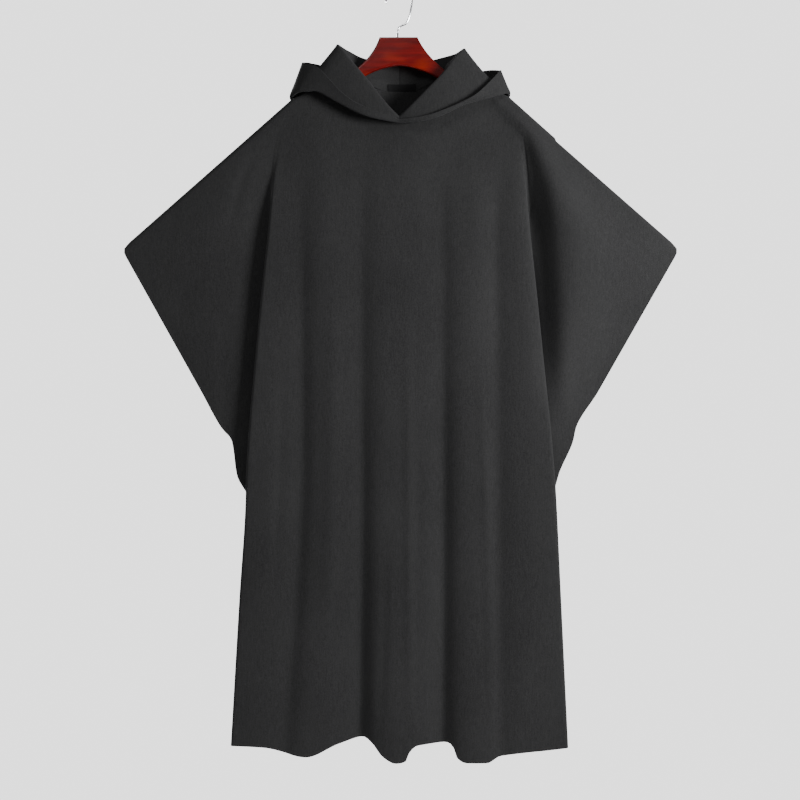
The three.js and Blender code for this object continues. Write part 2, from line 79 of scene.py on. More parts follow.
def curveThrough(points, count):  # an even-handed smooth curve, close to its points
    points = np.asarray(points, float)
    padded = np.vstack([2 * points[0] - points[1], points, 2 * points[-1] - points[-2]])
    made = []
    for place in np.linspace(0, len(points) - 1, count):
        first = min(int(place), len(points) - 2)
        t = place - first
        p0, p1, p2, p3 = padded[first:first + 4]
        g0, g1, g2 = [max(np.linalg.norm(b - a), tiny) ** 0.5 for a, b in ((p0, p1), (p1, p2), (p2, p3))]
        leave = ((p1 - p0) / g0 - (p2 - p0) / (g0 + g1) + (p2 - p1) / g1) * g1
        arrive = ((p2 - p1) / g1 - (p3 - p1) / (g1 + g2) + (p3 - p2) / g2) * g1
        a, b = 2 * p1 - 2 * p2 + leave + arrive, 3 * p2 - 3 * p1 - 2 * leave - arrive
        made.append(a * t ** 3 + b * t ** 2 + leave * t + p1)
    return np.array(made)


def drift(x, z, size, seed):  # slow unevenness, from -1 to 1
    places = zip(np.ravel(x) / size[0], np.ravel(z) / size[1])
    values = [noise.noise(Vector((across, seed, down))) for across, down in places]
    return np.array(values).reshape(np.shape(x))


# Materials

class Signal:
    def __init__(self, finish, socket):
        self.finish, self.socket = finish, socket

    def maths(self, operation, first, second):
        return self.finish.add("ShaderNodeMath", {"operation": operation}, {0: first, 1: second})

    def __add__(self, other):
        return self.maths("ADD", self, other)

    def __radd__(self, other):
        return self.maths("ADD", other, self)

    def __mul__(self, other):
        return self.maths("MULTIPLY", self, other)

    def __rmul__(self, other):
        return self.maths("MULTIPLY", other, self)


class Finish:
    def __init__(self, name):
        self.material = bpy.data.materials.new(name)
        self.material.use_nodes = True
        self.material.node_tree.nodes.clear()

    def add(self, kind, settings=None, inputs=None, out=0):
        tree = self.material.node_tree
        node = tree.nodes.new(kind)
        for key, value in (settings or {}).items():
            setattr(node, key, value)
        for key, value in (inputs or {}).items():
            if isinstance(value, Signal):
                tree.links.new(value.socket, node.inputs[key])
            else:
                node.inputs[key].default_value = value
        return Signal(self, node.outputs[out]) if node.outputs else None

    def stretched(self, scale):
        place = self.add("ShaderNodeTexCoord", out="Object")
        return self.add("ShaderNodeVectorMath", {"operation": "MULTIPLY"}, {0: place, 1: scale})

    def speckle(self, scale, detail, roughness):
        place = self.stretched(scale)
        return self.add("ShaderNodeTexNoise", {}, {
            "Vector": place, "Scale": 1, "Detail": detail, "Roughness": roughness,
        })

    def mixed(self, share, first, second):
        return self.add("ShaderNodeMix", {"data_type": "RGBA"}, {0: share, 6: first, 7: second}, out=2)

    def spread(self, value, low, high):
        return self.add("ShaderNodeMapRange", {}, {"Value": value, "From Min": low, "From Max": high})

    def bump(self, height, strength, distance):
        return self.add("ShaderNodeBump", {}, {"Height": height, "Strength": strength, "Distance": distance})

    def finished(self, inputs):
        shader = self.add("ShaderNodeBsdfPrincipled", {}, inputs)
        self.add("ShaderNodeOutputMaterial", {}, {"Surface": shader})
        return self.material


woolLook = dict(
    deep=(0.0090, 0.0090, 0.0093, 1),
    light=(0.0230, 0.0230, 0.0234, 1),
    brushing=(420, 420, 60),
    fibres=(620, 620, 380),
    clouds=(6, 6, 4),
    toneShares=(0.3, 0.45, 0.25),  # of the brushing, the fibres and the clouds
    toneRange=(0.34, 0.66),
    roughness=0.86, roughnessDrift=0.08,
    specular=0.15,
    sheen=0.06, sheenRoughness=0.5, sheenTint=(0.75, 0.76, 0.8, 1),
    nap=0.22, napShares=(0.3, 0.7), napDepth=0.0008,
)


def woolMaterial():
    look = Finish("charcoalWool")
    brushing = look.speckle(woolLook["brushing"], 4, 0.6)
    fibres = look.speckle(woolLook["fibres"], 2, 0.5)
    clouds = look.speckle(woolLook["clouds"], 3, 0.5)
    brushed, fibrous, cloudy = woolLook["toneShares"]
    tone = look.spread(brushing * brushed + fibres * fibrous + clouds * cloudy, *woolLook["toneRange"])
    brushed, fibrous = woolLook["napShares"]
    nap = brushing * brushed + fibres * fibrous
    return look.finished({
        "Base Color": look.mixed(tone, woolLook["deep"], woolLook["light"]),
        "Roughness": woolLook["roughness"] + woolLook["roughnessDrift"] * fibres,
        "Specular IOR Level": woolLook["specular"],
        "Sheen Weight": woolLook["sheen"],
        "Sheen Roughness": woolLook["sheenRoughness"],
        "Sheen Tint": woolLook["sheenTint"],
        "Normal": look.bump(nap, woolLook["nap"], woolLook["napDepth"]),
    })


wool = woolMaterial()
print("wool ready")


# Pieces are made from grids of points

sharpAngle = 48  # degrees, so that cut edges stay crisp


def gridNormals(grid):
    down = np.empty_like(grid)
    down[1:-1], down[0], down[-1] = grid[2:] - grid[:-2], grid[1] - grid[0], grid[-1] - grid[-2]
    across = np.empty_like(grid)
    across[:, 1:-1] = grid[:, 2:] - grid[:, :-2]
    across[:, 0], across[:, -1] = grid[:, 1] - grid[:, 0], grid[:, -1] - grid[:, -2]
    normals = np.cross(down, across)
    return normals / np.maximum(np.linalg.norm(normals, axis=2, keepdims=True), tiny)


def makePiece(name, points, faces, material):
    mesh = bpy.data.meshes.new(name)
    mesh.from_pydata((np.asarray(points) * mm).tolist(), [], faces)
    mesh.validate()
    mesh.shade_smooth()
    mesh.set_sharp_from_angle(angle=math.radians(sharpAngle))
    mesh.materials.append(material)
    piece = bpy.data.objects.new(name, mesh)
    bpy.context.scene.collection.objects.link(piece)
    return piece


def clothWall(name, grid, normals, outward, inward, material):
    rows, columns = grid.shape[:2]
    points = np.concatenate([(grid + normals * shift).reshape(-1, 3) for shift in (outward, inward)])
    at = np.arange(rows * columns).reshape(rows, columns)
    quads = np.stack([at[:-1, :-1], at[1:, :-1], at[1:, 1:], at[:-1, 1:]], axis=-1).reshape(-1, 4)
    under = quads[:, ::-1] + rows * columns
    rim = np.concatenate([at[:, 0], at[-1, 1:], at[-2::-1, -1], at[0, -2:0:-1]])
    following = np.roll(rim, -1)
    side = np.stack([rim, rim + rows * columns, following + rows * columns, following], axis=-1)
    return makePiece(name, points, np.concatenate([quads, under, side]).tolist(), material)


# Front and back

cloth = dict(
    thickness=2, foldRadius=11, pleatRadius=5.5, pleatSteps=8,
    neckHalfWidth=95, neckSideZ=-163, neckSideRise=0.75,
    neckOpening=8, neckOpeningWidth=62, neckOpeningReach=100, neckOpeningEndZ=-520,
    yokeEndZ=-300, hemBlendZ=-1100, hemCornerZ=-1513,
    underarmZ=-1024, armholeClose=70, sleeveHalfGap=9,
    easeReach=120, leastFullness=3,
    tipRound=24, tipFlare=1.7, cuffTurnZ=-808,
    bulgeReach=(20, 240), bulgeEndZ=-850,
    pleatLift=0.85, liftPower=1.6, liftFade=(290, 500),  # the pleats start softly
    valleyRound=9, valleyFade=(240, 450), creaseEnds=(0.35, 0.7),
    calmFromTop=(12, 60), calmDepth=(4, 12),  # creases stay off the seams
    seamTolerance=0.001,
)
fineness = dict(halfNeck=34, yoke=28, yokeStart=0.1, wing=34, body=112)  # of the panels' grids
evening = dict(
    reach=36, fromTop=(10, 34), fade=(275, 350),
    passes=60, share=0.5, passFromTop=(14, 40), passFade=(330, 440),
)
unevenness = [
    dict(height=1.3, size=(95, 330), seedStep=0),
    dict(height=0.5, size=(34, 120), seedStep=4),
]
thirds = (0.33, 0.67)
outline = [
    dict(z=-224, wingLeft=-216, rollLeft=-197, rollRight=201, wingRight=220),
    dict(z=-300, wingLeft=-302, rollLeft=-237, rollRight=239, wingRight=307),
    dict(z=-522, wingLeft=-554, rollLeft=-263, rollRight=264, wingRight=560),
    dict(z=-808, wingLeft=-394, rollLeft=-291, rollRight=294, wingRight=397),
    dict(z=-880, wingLeft=-354, rollLeft=-297, rollRight=301, wingRight=353),
    dict(z=-904, wingLeft=-334, rollLeft=-299, rollRight=303, wingRight=348),
    dict(z=-976, wingLeft=-323, rollLeft=-303, rollRight=309, wingRight=318),
    dict(z=-1024, wingLeft=-301, rollLeft=-304, rollRight=312, wingRight=309),
    dict(z=-1216, wingLeft=-313, rollLeft=-316, rollRight=321, wingRight=318),
    dict(z=-1513, wingLeft=-330, rollLeft=-333, rollRight=335, wingRight=332),
]
wingTip = outline[2]
shoulderZ = {-1: -224, 1: -218}
valleyHeights = (-330, -600, -930, -1513)
frontPanel = dict(
    side=-1, neckZ=-267, neckPower=2.3, rollInset=0, bodyColumns=104, seed=3.1,
    wingBulge={-1: (8, 1.0), 1: (38, 1.9)},  # height, and how far towards the body its crest leans
    pleat=[
        dict(z=-224, turn=4, hidden=6), dict(z=-300, turn=40, hidden=8),
        dict(z=-450, turn=95, hidden=10), dict(z=-700, turn=150, hidden=18),
        dict(z=-1024, turn=170, hidden=34), dict(z=-1513, turn=158, hidden=22),
    ],
    valleys=[  # places and depths from the chest down to the hem, and the widths of the two walls
        dict(x=(-196, -194, -192, -226), depth=(3, 9, 12, 8), widths=(32, 15)),
        dict(x=(-72, -74, -74, -76), depth=(2, 8, 15, 25), widths=(40, 18)),
        dict(x=(86, 87, 88, 88), depth=(2, 9, 16, 26), widths=(40, 18)),
        dict(x=(192, 194, 197, 202), depth=(6, 11, 11, 9), widths=(24, 30)),
    ],
    hem=[
        dict(x=-333, z=-1508), dict(x=-268, z=-1512), dict(x=-184, z=-1531), dict(x=-120, z=-1506),
        dict(x=-70, z=-1494), dict(x=-54, z=-1504), dict(x=-32, z=-1531), dict(x=-6, z=-1544),
        dict(x=12, z=-1541), dict(x=22, z=-1520), dict(x=38, z=-1509), dict(x=98, z=-1505),
        dict(x=108, z=-1514), dict(x=116, z=-1535), dict(x=134, z=-1543), dict(x=174, z=-1543),
        dict(x=200, z=-1530), dict(x=335, z=-1512),
    ],
    creases=[  # from, to, depth (a ridge is negative), width and sideways bow
        dict(start=(-284, -316), end=(-338, -500), depth=2.4, width=11, bow=-8),
        dict(start=(-230, -700), end=(-252, -1240), depth=1.6, width=9, bow=6),
        dict(start=(-128, -520), end=(-146, -1380), depth=-2.2, width=15, bow=4),
        dict(start=(18, -620), end=(25, -1560), depth=-2.4, width=8, bow=-2),
        dict(start=(-26, -1080), end=(-40, -1560), depth=2.2, width=8, bow=2),
        dict(start=(158, -700), end=(186, -1560), depth=-2.2, width=8, bow=4),
        dict(start=(46, -820), end=(40, -1330), depth=1.3, width=9, bow=-4),
        dict(start=(-66, -1428), end=(-88, -1490), depth=1.6, width=6, bow=0),
        dict(start=(260, -250), end=(304, -940), depth=10.0, width=22, bow=6),
        dict(start=(-330, -600), end=(-352, -860), depth=1.4, width=16, bow=-6),
        dict(start=(112, -290), end=(128, -560), depth=1.2, width=18, bow=3),
        dict(start=(-122, -300), end=(-112, -540), depth=1.1, width=20, bow=-3),
    ],
)
backPanel = dict(
    side=1, neckZ=-205, neckPower=2.4, rollInset=9, bodyColumns=92, seed=8.7,
    wingBulge={-1: (12, 1.3), 1: (9, 1.0)},
    pleat=[
        dict(z=-224, turn=4, hidden=6), dict(z=-300, turn=30, hidden=8),
        dict(z=-450, turn=80, hidden=10), dict(z=-700, turn=130, hidden=14),
        dict(z=-1024, turn=160, hidden=26), dict(z=-1513, turn=150, hidden=18),
    ],
    valleys=[
        dict(x=(-150, -152, -158, -176), depth=(2, 6, 11, 18), widths=(34, 20)),
        dict(x=(-10, -8, -6, 4), depth=(2, 7, 12, 20), widths=(20, 38)),
        dict(x=(140, 144, 150, 172), depth=(2, 6, 10, 17), widths=(36, 20)),
    ],
    hem=[dict(x=-333, z=-1500), dict(x=-90, z=-1494), dict(x=335, z=-1502)],
    creases=[
        dict(start=(286, -330), end=(334, -520), depth=2.1, width=12, bow=8),
        dict(start=(-290, -420), end=(-300, -780), depth=2.8, width=17, bow=-5),
        dict(start=(-84, -560), end=(-96, -1420), depth=-2.3, width=15, bow=5),
        dict(start=(74, -500), end=(92, -1380), depth=-2.0, width=16, bow=-5),
        dict(start=(218, -700), end=(236, -1300), depth=1.7, width=10, bow=4),
        dict(start=(-222, -820), end=(-240, -1330), depth=1.5, width=11, bow=-4),
        dict(start=(30, -900), end=(38, -1460), depth=1.5, width=9, bow=3),
        dict(start=(-340, -620), end=(-330, -860), depth=1.5, width=15, bow=6),
    ],
)


def topLine(side):  # neck side, shoulder point and wing tip
    key = "wingLeft" if side < 0 else "wingRight"
    shoulder = (outline[0][key], shoulderZ[side])
    return [(side * cloth["neckHalfWidth"], cloth["neckSideZ"]), shoulder, (wingTip[key], wingTip["z"])]


def distanceFromTop(x, z):
    nearest = np.full(np.shape(x), math.inf)
    for side in (-1, 1):
        points = topLine(side)
        for (startX, startZ), (endX, endZ) in zip(points, points[1:]):
            runX, runZ = endX - startX, endZ - startZ
            share = np.clip(((x - startX) * runX + (z - startZ) * runZ) / (runX ** 2 + runZ ** 2), 0, 1)
            distance = np.hypot(x - startX - share * runX, z - startZ - share * runZ)
            nearest = np.where(np.asarray(x) * side >= 0, np.minimum(nearest, distance), nearest)
    return nearest


def roundShare(distance, radius):
    return np.sqrt(np.maximum(0, 1 - (1 - np.minimum(distance / radius, 1)) ** 2))


def valleyDepth(panel, x, z):
    fade = soften(-z, *cloth["valleyFade"])
    total = 0
    for valley in panel["valleys"]:
        places = zip(valleyHeights, valley["x"], valley["depth"])
        course = [dict(z=height, x=placeX, depth=depth) for height, placeX, depth in places]
        offset = x - along(course, "z", "x", z, "smooth")
        width = np.where(offset < 0, *valley["widths"])
        wall = np.exp(-(np.hypot(offset, cloth["valleyRound"]) - cloth["valleyRound"]) / width)
        total = total + fade * along(course, "z", "depth", z, "smooth") * wall
    return total


def creaseDepth(creases, x, z):
    fadedIn, fadingOut = cloth["creaseEnds"]
    total = 0
    for crease in creases:
        (startX, startZ), (endX, endZ) = crease["start"], crease["end"]
        runX, runZ = endX - startX, endZ - startZ
        length = math.hypot(runX, runZ)
        share = ((x - startX) * runX + (z - startZ) * runZ) / length ** 2
        aside = ((x - startX) * -runZ + (z - startZ) * runX) / length
        aside = aside - crease["bow"] * np.sin(math.pi * np.clip(share, 0, 1))
        fade = soften(share, 0, fadedIn) * (1 - soften(share, fadingOut, 1))
        total = total + crease["depth"] * fade * np.exp(-(aside / crease["width"]) ** 2)
    return total


def pleatSection(turn, hidden):
    radius, steps = cloth["pleatRadius"], cloth["pleatSteps"]
    start = -radius * math.sin(min(turn, math.pi / 2))
    points = [
        (start + radius * math.sin(turn * step / steps), radius * (1 - math.cos(turn * step / steps)))
        for step in range(steps + 1)
    ]
    turnOut, turnBack = points[-1]
    for share in thirds:
        points.append((turnOut + share * hidden * math.cos(turn), turnBack + share * hidden * math.sin(turn)))
    for step in range(steps + 1):
        heading = turn * (1 - step / steps)
        points.append((
            turnOut + hidden * math.cos(turn) + radius * (math.sin(turn) - math.sin(heading)),
            turnBack + hidden * math.sin(turn) + radius * (math.cos(heading) - math.cos(turn)),
        ))
    return np.array(points)


def bodyDepth(panel, x, z):
    x, z = np.asarray(x, float), np.asarray(z, float)
    turn = np.radians(along(panel["pleat"], "z", "turn", z, "smooth"))
    hidden = along(panel["pleat"], "z", "hidden", z, "smooth")
    fold = cloth["foldRadius"]
    full = cloth["sleeveHalfGap"] + 2 * cloth["pleatRadius"] * (1 - np.cos(turn)) + hidden * np.sin(turn)
    distance = distanceFromTop(x, z)
    fade = soften(distance, fold, cloth["neckOpeningReach"])
    fade = fade * (1 - soften(-z, -cloth["yokeEndZ"], -cloth["neckOpeningEndZ"]))
    opening = cloth["neckOpening"] * fade * np.exp(-(x / cloth["neckOpeningWidth"]) ** 2)
    full = np.maximum(full, fold + cloth["leastFullness"])
    eased = opening + blend(fold, full, soften(distance, fold, cloth["easeReach"]))
    return eased * roundShare(distance, fold) - valleyDepth(panel, x, z)


edgeShares = [0, 0.0006, 0.003, 0.008, 0.016, 0.027, 0.04]  # close together where the edge turns
wingShares = np.concatenate([edgeShares, np.linspace(0.055, 0.985, 50)])


def panelRow(panel, z):
    turn = math.radians(along(panel["pleat"], "z", "turn", z, "smooth"))
    section = pleatSection(turn, float(along(panel["pleat"], "z", "hidden", z, "smooth")))
    parts = {}
    for side, name in ((-1, "Left"), (1, "Right")):
        way = "straight" if z > cloth["cuffTurnZ"] else "smooth"
        wingX = along(outline, "z", "wing" + name, z, way)
        fromTip = cloth["tipFlare"] * abs(z - wingTip["z"])
        wingX = wingX - side * max(cloth["tipRound"] - fromTip, 0) ** 2 / (4 * cloth["tipRound"])
        rollX = along(outline, "z", "roll" + name, z, "smooth") - side * panel["rollInset"]
        front = bodyDepth(panel, rollX, z)
        lift = cloth["pleatLift"] * (front - cloth["sleeveHalfGap"])
        lift = lift * (1 - soften(-z, *cloth["liftFade"]))
        scale = (front - cloth["sleeveHalfGap"] - lift) / section[-1, 1]
        x = blend(wingX, rollX + side * section[-1, 0], wingShares)
        height, leaning = panel["wingBulge"][side]
        height = height * soften(abs(wingX - rollX), *cloth["bulgeReach"]) ** 0.5
        height = height * (1 - soften(-z, -cloth["bulgeEndZ"], -cloth["underarmZ"]))
        bulge = height * np.sin(math.pi * wingShares ** leaning)
        if z > wingTip["z"]:
            fromTop = distanceFromTop(x, np.full(x.shape, z))
            fold = roundShare(np.maximum(fromTop - fromTop[0], 0), cloth["foldRadius"])
        else:
            closing = soften(-z, -cloth["underarmZ"] - cloth["armholeClose"], -cloth["underarmZ"])
            fold = blend(1, roundShare(np.abs(x - wingX), cloth["pleatRadius"]), closing)
        fullness = cloth["sleeveHalfGap"] + bulge + lift * wingShares ** cloth["liftPower"]
        wing = np.stack([x, fullness * fold], axis=1)
        pleat = np.stack([rollX + side * section[:, 0], front - scale * section[:, 1]], axis=1)
        parts[side] = (wing, pleat[::-1], rollX + side * section[0, 0])
    x = np.linspace(parts[-1][2], parts[1][2], panel["bodyColumns"] + 1)[1:-1]
    body = np.stack([x, bodyDepth(panel, x, np.full(x.shape, z))], axis=1)
    return np.concatenate([parts[-1][0], parts[-1][1], body, parts[1][1][::-1], parts[1][0][::-1]])


def neckHeight(panel, x):
    share = np.minimum(np.abs(x) / cloth["neckHalfWidth"], 1)
    return blend(panel["neckZ"], cloth["neckSideZ"], share ** panel["neckPower"])


def topRow(panel, count):
    shares = np.sin(math.pi / 2 * np.linspace(-1, 1, 2 * fineness["halfNeck"] + 1))
    neckX = cloth["neckHalfWidth"] * shares
    neckZ = neckHeight(panel, neckX)
    aside = (count - len(neckX)) // 2
    (leftNeck, leftShoulder), (rightNeck, rightShoulder) = topLine(-1)[:2], topLine(1)[:2]
    left = blend(np.array(leftShoulder), np.array(leftNeck), np.linspace(0, 1, aside + 1)[:-1, None])
    right = blend(np.array(rightNeck), np.array(rightShoulder), np.linspace(0, 1, aside + 1)[1:, None])
    return np.concatenate([left, np.stack([neckX, neckZ], axis=1), right])


def evenRows(x, depth, z):  # the pleats start softly below the shoulders
    evened = depth.copy()
    reach = evening["reach"]
    bell = np.exp(-(2 * np.arange(-reach, reach + 1) / reach) ** 2)
    bell = bell / bell.sum()
    share = soften(distanceFromTop(x, z), *evening["fromTop"]) * (1 - soften(-z, *evening["fade"]))
    for row in np.flatnonzero(share.max(axis=1)):
        if np.all(np.diff(x[row]) > 0):
            places = np.arange(x[row, 0], x[row, -1])
            level = np.pad(np.interp(places, x[row], depth[row]), reach, mode="edge")
            level = np.convolve(level, bell, mode="valid")
            evened[row] = blend(depth[row], np.interp(x[row], places, level), share[row])
    return evened


def yokeGrid(panel):
    yokeEnd = panelRow(panel, cloth["yokeEndZ"])
    top = topRow(panel, len(yokeEnd))
    made = []
    for share in np.linspace(0, 1, fineness["yoke"]) ** 2:
        z = blend(top[:, 1], cloth["yokeEndZ"], share)
        x = blend(top[:, 0], yokeEnd[:, 0], share)
        depth = blend(bodyDepth(panel, x, z), yokeEnd[:, 1], soften(share, fineness["yokeStart"], 1))
        for column, side in ((0, -1), (-1, 1)):
            (startX, startZ), (endX, endZ) = topLine(side)[1:]
            x[column] = blend(startX, endX, (z[column] - startZ) / (endZ - startZ))
            depth[column] = 0
        if share == 0:
            depth[np.abs(x) > cloth["neckHalfWidth"] - cloth["seamTolerance"]] = 0
        made.append(np.stack([x, depth, z], axis=1))
    return made


def bodyGrid(panel):
    made = []
    wingHeights = np.linspace(cloth["yokeEndZ"], wingTip["z"], fineness["wing"])[1:]
    bodyHeights = np.linspace(wingTip["z"], cloth["hemCornerZ"], fineness["body"])[1:]
    for z in (*wingHeights, *bodyHeights):
        row = panelRow(panel, z)
        drop = soften(-z, -cloth["hemBlendZ"], -cloth["hemCornerZ"])
        hem = along(panel["hem"], "x", "z", row[:, 0], "smooth") - cloth["hemCornerZ"]
        made.append(np.stack([row[:, 0], row[:, 1], z + drop * hem], axis=1))
    return made


def panelGrid(panel):
    grid = np.array(yokeGrid(panel) + bodyGrid(panel))
    x, depth, z = grid[..., 0], grid[..., 1], grid[..., 2]
    fromTop = distanceFromTop(x, z)
    calm = soften(fromTop, *cloth["calmFromTop"]) * soften(depth, *cloth["calmDepth"])
    share = evening["share"] * soften(fromTop, *evening["passFromTop"])
    share = (share * (1 - soften(-z, *evening["passFade"])))[1:-1, 1:-1]
    for _ in range(evening["passes"]):  # evens out the shoulders
        around = (depth[:-2, 1:-1] + depth[2:, 1:-1] + depth[1:-1, :-2] + depth[1:-1, 2:]) / 4
        depth[1:-1, 1:-1] = blend(depth[1:-1, 1:-1], around, share)
    depth = evenRows(x, depth, z)
    depth = depth - calm * creaseDepth(panel["creases"], x, z)
    for wave in unevenness:
        seed = panel["seed"] + wave["seedStep"]
        depth = depth + calm * wave["height"] * drift(x, z, wave["size"], seed)
    grid[..., 1] = panel["side"] * np.maximum(depth, 0)
    return grid


def makePanel(name, panel):
    grid = panelGrid(panel)
    if panel["side"] > 0:
        grid = grid[:, ::-1]
    normals = gridNormals(grid)
    seam = np.abs(grid[..., 1]) < cloth["seamTolerance"]
    normals[seam, 1] = 0
    normals /= np.maximum(np.linalg.norm(normals, axis=2, keepdims=True), tiny)
    return clothWall(name, grid, normals, 0, -cloth["thickness"], wool)


front = makePanel("frontCloth", frontPanel)
back = makePanel("backCloth", backPanel)
for piece, node, flat, area in (
    (front, "front", (1.18, 1.37), 1.162), (back, "back", (1.15, 1.36), 1.106)
):
    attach(piece, "root")
    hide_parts(node)
print("front and back ready")


# Hood, in two halves

hood = dict(
    turnRadius=3, bends=(60, 120), stationsPerRow=9, pointsPerStep=4,
    standShare=0.5, riseShares=(0.2, 0.6), neckRise=(0.5, 0.66),
    seamDepth=0.8, seamWidth=1.2, seamStep=0.096, seamReach=1,
    frontShares=(0, 0.18, 0.36, 0.54, 0.7, 0.84, 0.94, 1), backShares=(0.93, 0.8, 0.58, 0.3, 0),
    facings=(0, 5, 12, 20, 35, 50, 61, 72, 95, 112, 138, 162, 180),
)
leftHood = dict(
    roll=[(-0.8, -30, -262), (-19, -34, -244), (-40, -34, -219), (-64, -31, -188), (-92, -26, -154),
          (-113, -19, -127), (-120, -13, -118), (-122, -6, -115), (-108, 7, -122), (-98, 14, -126),
          (-80, 22, -134), (-44, 32, -142), (0, 36, -146)],
    low=[(-0.8, -36, -275), (-30, -42, -271), (-62, -43, -264), (-92, -40, -251), (-124, -36, -233),
         (-162, -29, -212), (-183, -23, -211), (-199, -16, -211), (-215, 4, -218), (-213, 20, -228),
         (-192, 35, -310), (-116, 39, -398), (0, 41, -440)],
    edge=[(-0.8, -41, -270), (-26, -45, -260), (-54, -48, -250), (-86, -47, -237), (-114, -45, -216),
          (-138, -41, -190), (-157, -35, -169), (-174, -26, -156), (-192, -8, -151), (-189, 16, -147),
          (-166, 42, -144), (-104, 58, -164), (0, 64, -190)],
)
rightHood = dict(
    roll=[(0.8, -30, -262), (18, -34, -247), (38, -34, -227), (62, -31, -202), (90, -26, -172),
          (110, -19, -144), (124, -13, -130), (130, -6, -123), (116, 7, -130), (103, 14, -133),
          (82, 22, -137), (46, 32, -144), (0, 36, -146)],
    low=[(0.8, -36, -275), (30, -42, -274), (62, -43, -269), (94, -40, -257), (128, -36, -240),
         (163, -29, -229), (184, -25, -223), (200, -19, -217), (219, 5, -211), (217, 20, -224),
         (195, 35, -308), (118, 39, -398), (0, 41, -440)],
    edge=[(0.8, -41, -270), (29, -45, -267), (61, -48, -261), (92, -47, -250), (122, -45, -237),
          (150, -41, -221), (168, -34, -205), (184, -25, -188), (202, -8, -167), (201, 14, -162),
          (182, 42, -156), (106, 58, -168), (0, 64, -190)],
)


def hoodNeck(place, side):
    lastFront = len(hood["frontShares"]) - 1
    panel = frontPanel if place <= lastFront else backPanel
    shares = hood["frontShares"] + hood["backShares"]
    share = np.interp(place, np.arange(len(shares)), shares)
    x = side * cloth["neckHalfWidth"] * math.sin(math.pi / 2 * share)
    z = float(neckHeight(panel, x))
    depth = 0 if share == 1 else float(bodyDepth(panel, x, z))
    depth -= min(cloth["thickness"] / 2, depth)
    rise = cloth["neckSideRise"] * float(soften(share, *hood["neckRise"]))
    return np.array([x, panel["side"] * depth, z + rise])


def hoodSection(neck, roll, low, edge, outward):
    radius = hood["turnRadius"]
    up = np.array([0, 0, 1.0])

    def turned(centre, degrees):
        angle = math.radians(degrees)
        return centre - radius * math.cos(angle) * outward + radius * math.sin(angle) * up

    rollCentre, lowCentre = roll - radius * up, low + radius * up
    upTo, down, lowIn, lowOut = (
        turned(rollCentre, 0), turned(rollCentre, 180), turned(lowCentre, 0), turned(lowCentre, 180)
    )
    first, second = neck.copy(), blend(neck, upTo, hood["standShare"])
    first[2], second[2] = (blend(neck[2], upTo[2], share) for share in hood["riseShares"])
    over = [turned(rollCentre, bend) for bend in hood["bends"]]
    under = [turned(lowCentre, -bend) for bend in hood["bends"]]
    inside = [blend(down, lowIn, share) for share in thirds]
    outside = [blend(lowOut, edge, share) for share in thirds]
    steps = [neck, first, second, upTo, *over, down, *inside, lowIn, *under, lowOut, *outside, edge]
    return curveThrough(steps, hood["pointsPerStep"] * (len(steps) - 1) + 1)


def hoodGrid(table, side):
    facings = hood["facings"]
    count = hood["stationsPerRow"] * (len(facings) - 1) + 1
    rolls, lows, edges = (curveThrough(table[key], count) for key in ("roll", "low", "edge"))
    grid = []
    for station in range(count):
        place = station / hood["stationsPerRow"]
        facing = math.radians(np.interp(place, range(len(facings)), facings))
        outward = np.array([side * math.sin(facing), -math.cos(facing), 0])
        neck = hoodNeck(place, side)
        section = hoodSection(neck, rolls[station], lows[station], edges[station], outward)
        section[:, 0] = side * np.maximum(side * section[:, 0], 0)
        if station in (0, count - 1):
            section[np.abs(section[:, 0]) < hood["seamReach"], 0] = 0
        grid.append(section)
    grid.insert(-1, blend(grid[-1], grid[-2], hood["seamStep"]))  # one more row beside the centre seam
    return np.array(grid)


def makeHood(name, table, side):
    grid = hoodGrid(table, side)
    if side > 0:
        grid = grid[::-1]
    normals = gridNormals(grid)
    normals[0, :, 0] = normals[-1, :, 0] = 0
    normals /= np.maximum(np.linalg.norm(normals, axis=2, keepdims=True), tiny)
    half = cloth["thickness"] / 2
    fromSeam = np.where(grid[..., 1:2] < 0, math.inf, np.abs(grid[..., :1]))
    groove = hood["seamDepth"] * np.exp(-(fromSeam / hood["seamWidth"]) ** 2)
    return clothWall(name, grid, normals, half - groove, groove - half, wool)


hoodLeft = makeHood("hoodLeftCloth", leftHood, -1)
hoodRight = makeHood("hoodRightCloth", rightHood, 1)
for piece, node, flat, area in (
    (hoodLeft, "hood_left", (0.44, 0.61), 0.137), (hoodRight, "hood_right", (0.44, 0.61), 0.133)
):
    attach(piece, "root")
    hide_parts(node)
print("hood ready")


# Neck label, bare

labelLook = dict(
    colour=(0.0025, 0.0025, 0.0028, 1), thread=(0.006, 0.006, 0.0065, 1), weave=(1500, 1500, 900),
    roughness=0.75, roughnessDrift=0.15, specular=0.15, nap=0.3, napDepth=0.0004,
    centreX=6, width=56, height=14, thickness=0.8, columns=57, rows=15,
    standOff=0.35, endStandOff=0.6, endReach=(20, 28), aboveNeck=1.5, aboveSeam=1,
    hoodRows=4, hoodSteps=3,  # the part of the hood that it is sewn to
)


def labelMaterial():
    look = Finish("wovenLabel")
    weave = look.speckle(labelLook["weave"], 2, 0.5)
    return look.finished({
        "Base Color": look.mixed(weave, labelLook["colour"], labelLook["thread"]),
        "Roughness": labelLook["roughness"] + labelLook["roughnessDrift"] * weave,
        "Specular IOR Level": labelLook["specular"],
        "Normal": look.bump(weave, labelLook["nap"], labelLook["napDepth"]),
    })


def backOfNeck(sections, x, z):  # the hood's inner face behind the neck
    found = [[np.interp(z, section[:, 2], section[:, axis]) for axis in (0, 1)] for section in sections]
    found.sort(key=lambda place: place[0])
    return np.interp(x, *np.array(found).T)


